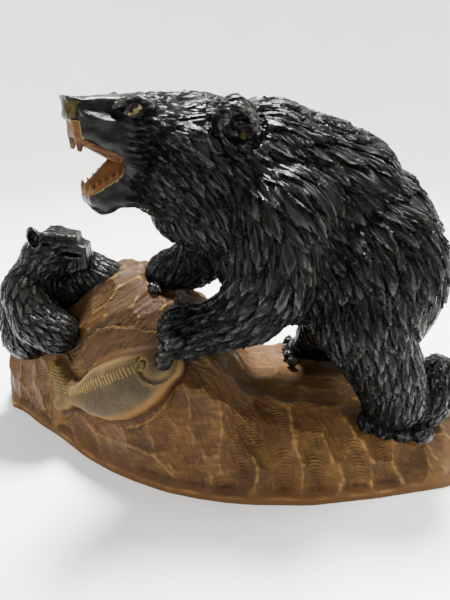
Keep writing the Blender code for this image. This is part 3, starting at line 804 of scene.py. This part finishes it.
def wrinkles(at):
    """The folds below the eyes, in drawn millimetres, for points in the head's frame."""
    forward, side, up = at.T
    reach = np.hypot(forward - 60, up - 312)
    below = np.clip((304 - up) / 4, 0, 1) * np.clip((up - 272) / 6, 0, 1)
    beside = np.clip((np.abs(side) - 14) / 5, 0, 1) * np.clip((72 - forward) / 5, 0, 1)
    beside *= np.clip((forward - 50) / 5, 0, 1)
    return -1.0 * below * beside * waves(reach, 4.2) ** 2


def bare_places(at, normals):
    """How much bare or rubbed wood shows on the bear's face, for points in the head's frame."""
    forward, side, up = at.T
    width = np.abs(side)
    nose = (forward > 93.5) & (up > 304.5) & (up < 315) & (width < 9.5)
    lip = (forward > 92) & (up < 303) & (up > 284) & (width < 12)
    above = normals[:, 2] > 0.3
    low = 256 + 0.582 * (95 - forward) - np.where(above, 2.6, 0.6)
    high = 262.5 + 0.526 * (forward - 40)
    jaw = np.where(above, 29, 24.5) - 0.275 * (forward - 40)
    mouth = (up > low) & (up < high) & (forward > 54) & (forward < 99) & (width < jaw)
    slant = up - 308.4 + 0.45 * (forward - 63)
    eye = (np.hypot((forward - 62.5) / 5.2, slant / 2.5) < 1) & (width > 17) & (width < 29)
    ear = np.hypot(np.hypot(forward + 4, width - 50), up - 292) < 3
    bare = np.zeros(len(at))
    bare[ear] = 0.5
    bare[eye] = 0.6
    bare[nose] = 0.5
    bare[lip | mouth] = 1.0
    return bare


def blended_bear():
    """The bear's masses with a smooth even skin, and the rough skin her locks are placed on."""
    shape = bmesh.new()
    bear_body(shape)
    bear_legs(shape)
    bear_head(shape)
    bear = from_shape(shape, "bear")
    other = added("rough", bear.data.copy())
    rough = surface(skinned(other, ROUGH_VOXEL, 6))
    bpy.data.objects.remove(other)
    return skinned(bear, EVEN_VOXEL, EVEN_SMOOTHING), rough


def dented(obj, at, size, into, frame=STANDING, turn=0.0, tilt=0.0):
    """Presses a place in, as far as the far side of an ellipsoid. into is the way in."""
    way = placing(at, (1, 1, 1), frame, turn, tilt).to_3x3() @ Vector(into)
    matrix = np.array(placing(at, size, frame, turn, tilt))
    inverse = np.linalg.inv(matrix)
    points, _ = surface(obj)
    unit = points @ inverse[:3, :3].T + inverse[:3, 3]
    way = inverse[:3, :3] @ np.array(way)
    way /= np.linalg.norm(way)
    inside = (unit**2).sum(axis=1) < 1
    unit = unit[inside]
    along = unit @ way
    unit += (np.sqrt(1 - (unit**2).sum(axis=1) + along**2) - along)[:, None] * way
    points[inside] = unit @ matrix[:3, :3].T + matrix[:3, 3]
    reshaped(obj, points)


def fine_face(shape):
    """Upper and lower eyelids and brows, in the head's own frame."""
    for side in SIDES:
        lid = [(69, 20, 307, 1.0), (65.5, 21, 310.4, 1.3), (60, 22.5, 312.6, 1.5), (56, 24, 310, 1.3)]
        pouch = [(69, 20, 307, 0.9), (65, 23.5, 305.0, 1.2), (60, 25, 306, 1.2), (56, 24, 310, 1.1)]
        brow = [(73, 14, 310, 1.8), (67, 18, 314, 2.4), (59, 21.5, 316, 2.8), (52, 26, 311, 2.8)]
        for line in (lid, pouch, brow):
            stations = [(x, side * y, z, r) for x, y, z, r in line]
            limb(shape, *stations, frame=HEAD, sides=FINE_SEGMENTS)


def shaped_bear():
    """The bear with her face and toes but no carving, and the rough skin her locks are placed on."""
    bear, rough = blended_bear()
    shape = bmesh.new()
    bear_face(shape)
    bear_toes(shape)
    with_more(bear, shape)
    shape = bmesh.new()
    fine_face(shape)
    with_more(bear, shape)
    skinned(bear, BEAR_VOXEL, 0)
    for side in SIDES:
        dented(bear, (3, side * 57, 295), (11, 9, 11), (0, -side, 0), HEAD, side * -20)
        dented(bear, (103, side * 6.5, 311), (5, 3, 3.5), (-1, 0, 0), HEAD)
    return skinned(bear, BEAR_VOXEL, 1), rough


def make_bear():
    """The bear with her locks, the finer strokes over them and her face."""
    flow = bear_flow()
    bear, rough = shaped_bear()
    skin = surface(bear)
    size = flow_at(*skin, flow)[1]
    locks = locks_relief(skin, placed_locks(rough, flow, LOCK, 1), LOCK, 2)
    lay = np.zeros((len(skin[0]), 3))
    tufts = locks_relief(skin, placed_locks(rough, flow, TUFT, 11), TUFT, 12, 0.35, 1.0, lay)
    strokes = strokes_over(skin, flow, STROKE, 13)
    everywhere = flow.copy()
    everywhere[:, 6] = 1
    facets = scoops_relief(skin, placed_locks(rough, everywhere, FACET, 15), FACET, 16)
    at = in_head(skin[0])
    border = 56 + 6 * np.clip((290 - at[:, 2]) / 30, -0.5, 0.5)
    face = np.clip((at[:, 0] - border) / 5, 0, 1)
    furry = np.clip((size - 0.2) / 0.25, 0, 1) * (1 - face)
    bare = bare_places(at, skin[1])
    smooth = (1 - furry) * (bare < 0.2)
    hewn_ear = np.linalg.norm((np.abs(at) - (1, 48, 298)) / (21, 16, 21), axis=1) < 1
    rise = (locks + tufts) * (1 - face) + strokes * furry + facets * (smooth + 2.5 * hewn_ear)
    rise[bare > 0.2] = 0
    rise += wrinkles(at) * MM
    pushed(bear, rise)
    masks = coat_masks((rise + STROKE[2]) / (LOCK[2] + TUFT[2]), lay)
    return finished(bear, MOST_TRIANGLES, 1, {**masks, "bare": bare})


def make_mouth():
    """Tongue, gums and teeth of bare wood, inside the bear's open mouth."""
    shape = bmesh.new()
    hewn(shape, (52, 262, 285, 16), (94, 287, 296, 9), HEAD)
    limb(shape, (54, 0, 274, 9), (72, 0, 267, 8.5), (87, 0, 259, 6), frame=HEAD)
    for side in SIDES:
        limb(shape, (62, side * 16, 273, 2.4), (91, side * 9.5, 257, 2.0), frame=HEAD)
        limb(shape, (60, side * 19, 273, 2.0), (94, side * 11, 290, 2.0), frame=HEAD)
    mouth = skinned(from_shape(shape, "mouth"), MOUTH_VOXEL, 8)
    shape = bmesh.new()
    for side in SIDES:
        for i in range(UPPER_TEETH):
            share = i / (UPPER_TEETH - 1)
            x, y = 90 - 18 * share, 10.5 + 7 * share
            z = 262 + 0.526 * (x - 40)
            spike(shape, (x, side * y, z + 1.5), (x + 0.8, side * y, z - 3.5), 1.7, HEAD)
        for i in range(LOWER_TEETH):
            share = i / (LOWER_TEETH - 1)
            x, y = 88 - 18 * share, 9.8 + 6.5 * share
            z = 256 + 0.582 * (95 - x)
            spike(shape, (x, side * y, z - 2), (x + 0.6, side * y, z + 3.5), 1.7, HEAD)
        spike(shape, (95, side * 7.5, 295), (97, side * 8, 283.5), 4.6, HEAD)
        spike(shape, (91.5, side * 8.5, 252), (93, side * 9, 262), 3.0, HEAD)
        for y in (2, 5.5):
            spike(shape, (97, side * y, 293), (98.5, side * y, 287.5), 1.6, HEAD)
            spike(shape, (93.5, side * y, 253), (94.5, side * y, 258.5), 1.5, HEAD)
    with_more(mouth, shape)
    skinned(mouth, MOUTH_VOXEL, 1)
    _, side, up = in_head(surface(mouth)[0]).T
    depth = np.clip((up - 240) / 50 + 0.3 * (np.abs(side) > 8.5), 0, 1)
    return finished(mouth, MOUTH_TRIANGLES, 1, {"relief": depth})


def make_cub():
    """The cub with its short locks and fine strokes."""
    cub, rough = cub_form()
    skinned(cub, CUB_VOXEL, 2)
    dented(cub, (-176, 17, 200), (6, 3, 8), (0, 1, 0), turn=-30)
    dented(cub, (-166, 18, 194), (3.2, 3, 1.8), (0, 1, 0))
    dented(cub, (-146, 22, 183), (9, 5, 1.8), (-0.2, 1, 0), tilt=-14)
    flow = np.array(CUB_FLOW, float)
    skin = surface(cub)
    lay = np.zeros((len(skin[0]), 3))
    locks = locks_relief(skin, placed_locks(rough, flow, CUB_LOCK, 3), CUB_LOCK, 3, lay=lay)
    rise = locks + strokes_over(skin, flow, CUB_STROKE, 21)
    pushed(cub, rise)
    relief = (rise + CUB_STROKE[2]) / (CUB_LOCK[2] + CUB_STROKE[2])
    return finished(cub, CUB_TRIANGLES, 1, coat_masks(relief, lay))


def rippled(surface_of, places, seed):
    """The arched chatter marks that the gouge left across some of its scoops."""
    length, width, _ = SCOOP
    rng, skin, rise = started(surface_of, length, seed)
    for at, normal, lie, _ in places:
        if rng.uniform() > RIPPLED_SHARE:
            continue
        ids, along, across = footprint(skin, at, normal, swung(normal, lie), (length, width), 0.6, 0.5)
        oval = along**2 + across**2
        inside = oval < 1.3
        ids, along, across, oval = ids[inside], along[inside], across[inside], oval[inside]
        arch = along * length / 2 - across**2 * width / 3.6
        rise[ids] = -RIPPLE_DEPTH * waves(arch, RIPPLE_PITCH) ** 2 * np.clip((1.3 - oval) / 0.4, 0, 1)
    return rise


def fish_detail(points, fish):
    """Scales, back ridges, gill cover, eye and fin rays, in drawn millimetres, and its colours."""
    along, across, width, _ = along_salmon(points)
    on = fish > 0
    share = np.clip(across / width, -1, 1)
    x, z = points[:, 0] / MM, points[:, 2] / MM
    line = np.array(SALMON, float)[:, :2]
    lengths = np.r_[0, np.cumsum(np.hypot(*np.diff(line, axis=0).T))]
    run = np.interp(along, np.arange(len(lengths)), lengths)
    root = lengths[TAIL_ROOT]
    gill = np.hypot(x - GILL[0], z - GILL[1])
    head = on & ((gill < GILL[2]) | (run < 14))
    tail = on & (run >= root)
    body = on & ~head & ~tail
    detail = np.zeros(len(points))
    yellow = np.zeros(len(points))
    back = body & (share < -0.28) & (share > -0.60)
    bars = waves(run + 5 * share, BAR_PITCH)
    detail[back] = (1.1 * bars**2 - 0.5)[back]
    yellow[back] = (bars**4)[back]
    spine = body & (share <= -0.60)
    detail[spine] = (0.5 * waves(across, 1.9) - 0.2)[spine]
    scaled = body & (share >= -0.28) & (share < 0.66)
    row = np.floor(across / 2.6)
    cup = np.hypot((run + 1.6 * (row % 2)) % 3.2 - 1.6, across % 2.6 - 1.3)
    detail[scaled] = (0.65 * np.clip(1.5 - cup, 0, 1) - 0.3)[scaled]
    rays = waves(across, 2.4)
    detail[tail] = (1.0 * rays - 0.5)[tail]
    yellow[tail] = (0.7 * rays**3)[tail]
    rim = on & ~tail & (np.abs(gill - GILL[2]) < 1.1)
    detail[rim] = -1.2
    eye = np.hypot(x - FISH_EYE[0], z - FISH_EYE[1])
    detail[on & (eye < 2.2)] = 0.8
    detail[on & (np.abs(eye - 3.0) < 0.8)] = -0.9
    yellow[on & (np.abs(eye - 4.2) < 0.9)] = 0.6
    belly = 0.8 * np.clip((share - 0.66) / 0.16, 0, 1) * (on & ~tail)
    return detail * MM, {"fish": on.astype(float), "yellow": yellow, "belly": belly}


def make_rock():
    """The rock with the salmon, the scoops and the marks of the gouge, and a flat underside."""
    rock = from_shape(rock_form(), "rough")
    skinned(rock, ROUGH_VOXEL, 4)
    flow = np.array(ROCK_FLOW, float)
    rough = surface(rock)
    places = placed_locks(rough, flow, SCOOP, 4)
    bpy.data.objects.remove(rock)
    rock = skinned(from_shape(rock_form(), "rock"), EVEN_VOXEL, 16)
    skinned(rock, ROCK_VOXEL, 1)
    skin = surface(rock)
    points, normals = skin
    fish = salmon_relief(points, normals)
    scoops = scoops_relief(skin, places, SCOOP, 5)
    ripples = rippled(skin, places, 31)
    marked = strokes_relief(skin, placed_locks(rough, flow, MARK, 32), MARK, 33)
    detail, masks = fish_detail(points, fish)
    plain = (fish != 0) | (normals[:, 2] < -0.5)
    cuts = scoops + ripples + marked
    cuts[plain] = 0
    cuts += marked * (fish < 0)
    cuts *= np.clip((points[:, 2] - PLAIN_FOOT) / PLAIN_FOOT, 0, 1)
    pushed(rock, fish + detail + cuts)
    masks["relief"] = np.clip(1 + (cuts + detail + np.minimum(fish, 0)) / SCOOP[2], 0, 1)
    points, _ = surface(rock)
    points[:, 2] = np.maximum(points[:, 2], 0)
    reshaped(rock, points)
    return finished(rock, MOST_TRIANGLES, 2, masks)


# Materials


class Nodes:
    """A short way to build a material's nodes."""

    def __init__(self, name):
        self.material = bpy.data.materials.new(name)
        self.material.use_nodes = True
        self.tree = self.material.node_tree
        self.shader = self.tree.nodes["Principled BSDF"]
        self.place = self.node("TexCoord").outputs["Object"]

    def link(self, value, socket):
        if isinstance(value, bpy.types.NodeSocket):
            self.tree.links.new(value, socket)
        else:
            socket.default_value = value

    def set(self, name, value):
        self.link(value, self.shader.inputs[name])

    def node(self, kind, **values):
        """A new node with its inputs linked or set."""
        made = self.tree.nodes.new("ShaderNode" + kind)
        for name, value in values.items():
            self.link(value, made.inputs[name])
        return made

    def mask(self, name):
        made = self.node("Attribute")
        made.attribute_name = name
        return made.outputs["Fac"]

    def height(self):
        return self.node("SeparateXYZ", Vector=self.place).outputs["Z"]

    def noise(self, scale, detail=3.0, stretch=(1, 1, 1), roughness=0.5):
        place = self.node("Mapping", Vector=self.place, Scale=stretch).outputs["Vector"]
        made = self.node("TexNoise", Vector=place, Scale=scale, Detail=detail, Roughness=roughness)
        return made.outputs["Fac"]

    def math(self, kind, a, b):
        made = self.node("Math")
        made.operation = kind
        for value, socket in zip((a, b), made.inputs):
            self.link(value, socket)
        return made.outputs["Value"]

    def times(self, a, b):
        return self.math("MULTIPLY", a, b)

    def plus(self, a, b):
        return self.math("ADD", a, b)

    def ramp(self, value, *stops):
        """Turns a value into a share or a colour, through stops of (value, share or colour)."""
        made = self.node("ValToRGB", Fac=value)
        spots = made.color_ramp.elements
        while len(spots) < len(stops):
            spots.new(0.5)
        for spot, (at, shown) in zip(spots, stops):
            spot.position = at
            spot.color = (*shown, 1.0) if isinstance(shown, tuple) else (shown, shown, shown, 1.0)
        return made.outputs["Color"]

    def mix(self, share, a, b):
        made = self.node("Mix")
        made.data_type = "RGBA"
        for value, i in ((share, 0), (a, 6), (b, 7)):
            self.link((*value, 1.0) if isinstance(value, tuple) else value, made.inputs[i])
        return made.outputs[2]

    def over(self, base, *layers):
        """Lays colours over a base, each by a mask ramped between two (value, share) stops."""
        for mask, one, two, colour in layers:
            base = self.mix(self.ramp(mask, one, two), base, colour)
        return base

    def hair(self, across, along):
        """Fine lines along each lock, with so many to the metre across it and along it."""
        place = self.node(
            "CombineXYZ",
            X=self.times(self.mask("across"), across),
            Y=self.times(self.mask("along"), along),
            Z=self.times(self.mask("lock"), 3.7),
        )
        return self.node("TexNoise", Vector=place.outputs["Vector"], Scale=1.0, Detail=1.0).outputs["Fac"]

    def bump(self, height, distance, strength=1.0):
        made = self.node("Bump", Height=height, Distance=distance, Strength=strength)
        self.set("Normal", made.outputs["Normal"])


def black_paint():
    """Glossy black stain, thin on the ridges, with painted shade darkening its grooves, over the bare wood
    of the face.
    """
    made = Nodes("black_paint")
    relief = made.mask("relief")
    bare = made.mask("bare")
    bend = made.mask("bend")
    blotch = made.noise(24, 4)
    speckle = made.noise(170, 4, roughness=0.6)
    coat = made.ramp(
        blotch,
        (0.30, (0.0024, 0.0026, 0.0026)),
        (0.62, (0.0048, 0.0048, 0.0042)),
        (0.80, (0.0100, 0.0085, 0.0055)),
    )
    # Painted shade: the coat is darkened to near black in the grooves, where the bend mask is low.
    coat = made.over(coat, (bend, (0.15, 0.9), (0.45, 0.0), (0.0012, 0.0012, 0.0012)))
    patchy = made.ramp(made.plus(speckle, made.times(relief, 0.1)), (0.50, 0.0), (0.74, 1.0))
    worn = made.times(made.ramp(bend, (0.60, 0.0), (0.88, 1.0)), patchy)
    coat = made.mix(made.times(worn, 0.35), coat, (0.050, 0.040, 0.022))
    wood = made.ramp(
        bare,
        (0.2, (0.020, 0.014, 0.008)),
        (0.35, (0.016, 0.011, 0.005)),
        (0.5, (0.040, 0.032, 0.013)),
        (0.58, (0.120, 0.106, 0.052)),
        (0.70, (0.120, 0.106, 0.052)),
        (1.0, (0.060, 0.027, 0.009)),
    )
    inner = made.ramp(bare, (0.7, 0.15), (0.9, 1.0))
    stain = made.times(made.ramp(blotch, (0.35, 0.0), (0.6, 0.75)), inner)
    wood = made.mix(stain, wood, (0.050, 0.026, 0.010))
    eye = made.ramp(bare, (0.52, 0.0), (0.58, 1.0))
    rubbed = made.math("MAXIMUM", made.ramp(speckle, (0.3, 0.35), (0.6, 1.0)), eye)
    shown = made.times(made.ramp(bare, (0.12, 0.0), (0.3, 1.0)), rubbed)
    made.set("Base Color", made.mix(shown, coat, wood))
    rough = made.plus(made.ramp(made.noise(40, 3), (0.3, 0.17), (0.7, 0.34)), made.times(worn, 0.2))
    made.set("Roughness", made.plus(rough, made.times(shown, 0.15)))
    shine = made.ramp(bend, (0.50, 0.050), (0.80, 0.17))
    made.set("Specular IOR Level", made.times(shine, made.ramp(bare, (0.12, 1.0), (0.3, 0.3))))
    varnish = made.ramp(bend, (0.55, 0.0), (0.85, 0.09))
    made.set("Coat Weight", made.times(varnish, made.ramp(bare, (0.12, 1.0), (0.3, 0.0))))
    made.set("Coat Roughness", 0.10)
    grain = made.plus(made.noise(420, 4, roughness=0.65), made.noise(120, 3))
    made.bump(made.plus(made.times(grain, 0.45), made.times(made.hair(520, 22), 3.0)), 0.0009, 0.9)
    return made.material


def stained_wood():
    """Brown stained wood: golden ridges, painted shade in the hollows and grooves, a painted shadow over
    the top, and the salmon's own colours.
    """
    made = Nodes("stained_wood")
    relief = made.mask("relief")
    bend = made.mask("bend")
    blotch = made.noise(14, 4)
    streak = made.noise(60, 4, stretch=(0.25, 1, 1), roughness=0.6)
    fine = made.noise(240, 4, stretch=(0.2, 1, 1), roughness=0.6)
    stain = made.noise(38, 6, roughness=0.65)
    height = made.height()
    base = made.ramp(
        blotch,
        (0.28, (0.032, 0.015, 0.0048)),
        (0.48, (0.056, 0.027, 0.0080)),
        (0.70, (0.088, 0.046, 0.0125)),
    )
    base = made.over(
        base,
        (streak, (0.4, 0.0), (0.7, 0.6), (0.055, 0.025, 0.008)),
        (fine, (0.45, 0.0), (0.7, 0.35), (0.170, 0.095, 0.029)),
        (stain, (0.46, 0.0), (0.66, 0.75), (0.020, 0.010, 0.004)),
        (height, (0.004, 0.7), (0.018, 0.0), (0.052, 0.020, 0.006)),
        # Painted shadow: the rock's top, from 70 mm up, is darkened as if shaded by the bear above it.
        (height, (0.070, 0.0), (0.135, 0.85), (0.024, 0.0125, 0.0044)),
        (relief, (0.80, 0.0), (1.0, 0.25), (0.120, 0.064, 0.018)),
    )
    golden = made.ramp(bend, (0.75, 0.0), (1.0, 0.7))
    golden = made.times(golden, made.ramp(fine, (0.35, 0.1), (0.6, 1.0)))
    golden = made.times(golden, made.ramp(blotch, (0.4, 0.35), (0.6, 1.0)))
    base = made.mix(golden, base, (0.230, 0.132, 0.040))
    base = made.over(
        base,
        # Painted shade: the grooves and the deepest hollows of the rock are darkened.
        (bend, (0.0, 0.8), (0.38, 0.0), (0.026, 0.012, 0.005)),
        (relief, (0.0, 0.35), (0.3, 0.0), (0.035, 0.016, 0.006)),
    )
    scales = made.ramp(streak, (0.3, (0.016, 0.014, 0.007)), (0.7, (0.045, 0.032, 0.013)))
    scales = made.over(
        scales,
        (blotch, (0.4, 0.0), (0.65, 0.7), (0.056, 0.031, 0.010)),
        (stain, (0.46, 0.0), (0.66, 0.6), (0.015, 0.010, 0.005)),
        (made.mask("belly"), (0.0, 0.0), (1.0, 1.0), (0.100, 0.042, 0.011)),
        # Painted shade: the salmon is darker where it is cut deepest.
        (relief, (0.0, 0.35), (0.3, 0.0), (0.022, 0.014, 0.007)),
        (bend, (0.58, 0.0), (0.85, 0.45), (0.120, 0.076, 0.024)),
        # Painted shade: the salmon's grooves are darkened.
        (bend, (0.12, 0.85), (0.43, 0.0), (0.016, 0.009, 0.004)),
        (made.mask("yellow"), (0.0, 0.0), (1.0, 0.6), (0.210, 0.140, 0.042)),
    )
    made.set("Base Color", made.mix(made.mask("fish"), base, scales))
    made.set("Roughness", made.ramp(made.noise(30, 3), (0.3, 0.55), (0.7, 0.75)))
    made.set("Specular IOR Level", 0.12)
    made.bump(made.plus(streak, made.times(fine, 1.2)), 0.0006, 0.8)
    return made.material


def mouth_wood():
    """Bare wood, tinted orange: the tongue pale, the palate dark."""
    made = Nodes("mouth_wood")
    blotch = made.noise(90, 4)
    fine = made.noise(320, 4, stretch=(0.3, 1, 1), roughness=0.6)
    base = made.ramp(
        made.mask("relief"),
        (0.1, (0.115, 0.062, 0.021)),
        (0.45, (0.120, 0.056, 0.019)),
        (0.7, (0.068, 0.026, 0.008)),
        (1.0, (0.034, 0.013, 0.005)),
    )
    base = made.over(
        base,
        (blotch, (0.45, 0.0), (0.7, 0.7), (0.034, 0.014, 0.005)),
        (fine, (0.5, 0.0), (0.7, 0.4), (0.150, 0.085, 0.032)),
    )
    made.set("Base Color", base)
    made.set("Roughness", made.ramp(blotch, (0.3, 0.45), (0.7, 0.6)))
    made.set("Specular IOR Level", 0.08)
    made.bump(fine, 0.0003, 0.5)
    return made.material


# The scene


def dress(obj, material):
    """Gives a piece its material and its place in the model."""
    obj.data.materials.clear()
    obj.data.materials.append(material)
    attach(obj, "root")
    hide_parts("carved_bear")


def pale_floor():
    """A round white floor whose far edge sweeps up on all sides."""
    flat, curve, top = 1.3, 0.7, 1.6
    turns = np.linspace(0, math.pi / 2, 13)
    profile = [(0.0, 0.0), (0.7, 0.0)]
    profile += [(flat + curve * math.sin(a), curve * (1 - math.cos(a))) for a in turns]
    profile.append((flat + curve, top))
    shape = bmesh.new()
    spots = [shape.verts.new((r, 0, z)) for r, z in profile]
    edges = [shape.edges.new(pair) for pair in zip(spots, spots[1:])]
    geom = spots + edges
    bmesh.ops.spin(shape, geom=geom, cent=(0, 0, 0), axis=(0, 0, 1), angle=2 * math.pi, steps=96)
    bmesh.ops.remove_doubles(shape, verts=shape.verts, dist=0.0001)
    bmesh.ops.recalc_face_normals(shape, faces=shape.faces)
    floor = from_shape(shape, "floor")
    floor.data.shade_smooth()
    made = Nodes("white_paper")
    paper = made.ramp(made.noise(3, 2), (0.3, (0.92, 0.92, 0.91)), (0.7, (0.95, 0.95, 0.94)))
    made.set("Base Color", paper)
    made.set("Roughness", 0.55)
    floor.data.materials.append(made.material)


def soft_light(name, at, aim, size, power):
    lamp = bpy.data.lights.new(name, "AREA")
    lamp.shape = "DISK"
    lamp.size = size
    lamp.energy = power
    obj = added(name, lamp)
    obj.location = at
    obj.rotation_euler = (Vector(aim) - Vector(at)).to_track_quat("-Z", "Y").to_euler()


def camera_and_lights():
    lens = bpy.data.cameras.new("camera")
    lens.sensor_width = SENSOR
    lens.lens = LENS
    camera = added("camera", lens)
    camera.location = CAMERA_AT
    camera.rotation_euler = (math.radians(90 - CAMERA_TILT), 0, 0)
    bpy.context.scene.camera = camera
    world = bpy.data.worlds.new("room")
    world.use_nodes = True
    background = world.node_tree.nodes["Background"]
    background.inputs["Color"].default_value = (1.0, 1.0, 1.0, 1.0)
    background.inputs["Strength"].default_value = ROOM_LIGHT
    bpy.context.scene.world = world
    soft_light("overhead", (0.05, 0.32, 1.25), (0, 0.02, 0.1), 0.30, 118)
    soft_light("front_fill", (-0.6, -0.9, 1.1), (0, 0, 0.12), 0.5, 9)
    soft_light("rim", (0.65, 0.12, 0.95), (0.10, 0, 0.22), 0.35, 14)


def main():
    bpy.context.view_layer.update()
    camera_and_lights()
    pale_floor()
    black = black_paint()
    wood = stained_wood()
    dress(make_bear(), black)
    dress(make_cub(), black)
    dress(make_rock(), wood)
    dress(make_mouth(), mouth_wood())


main()
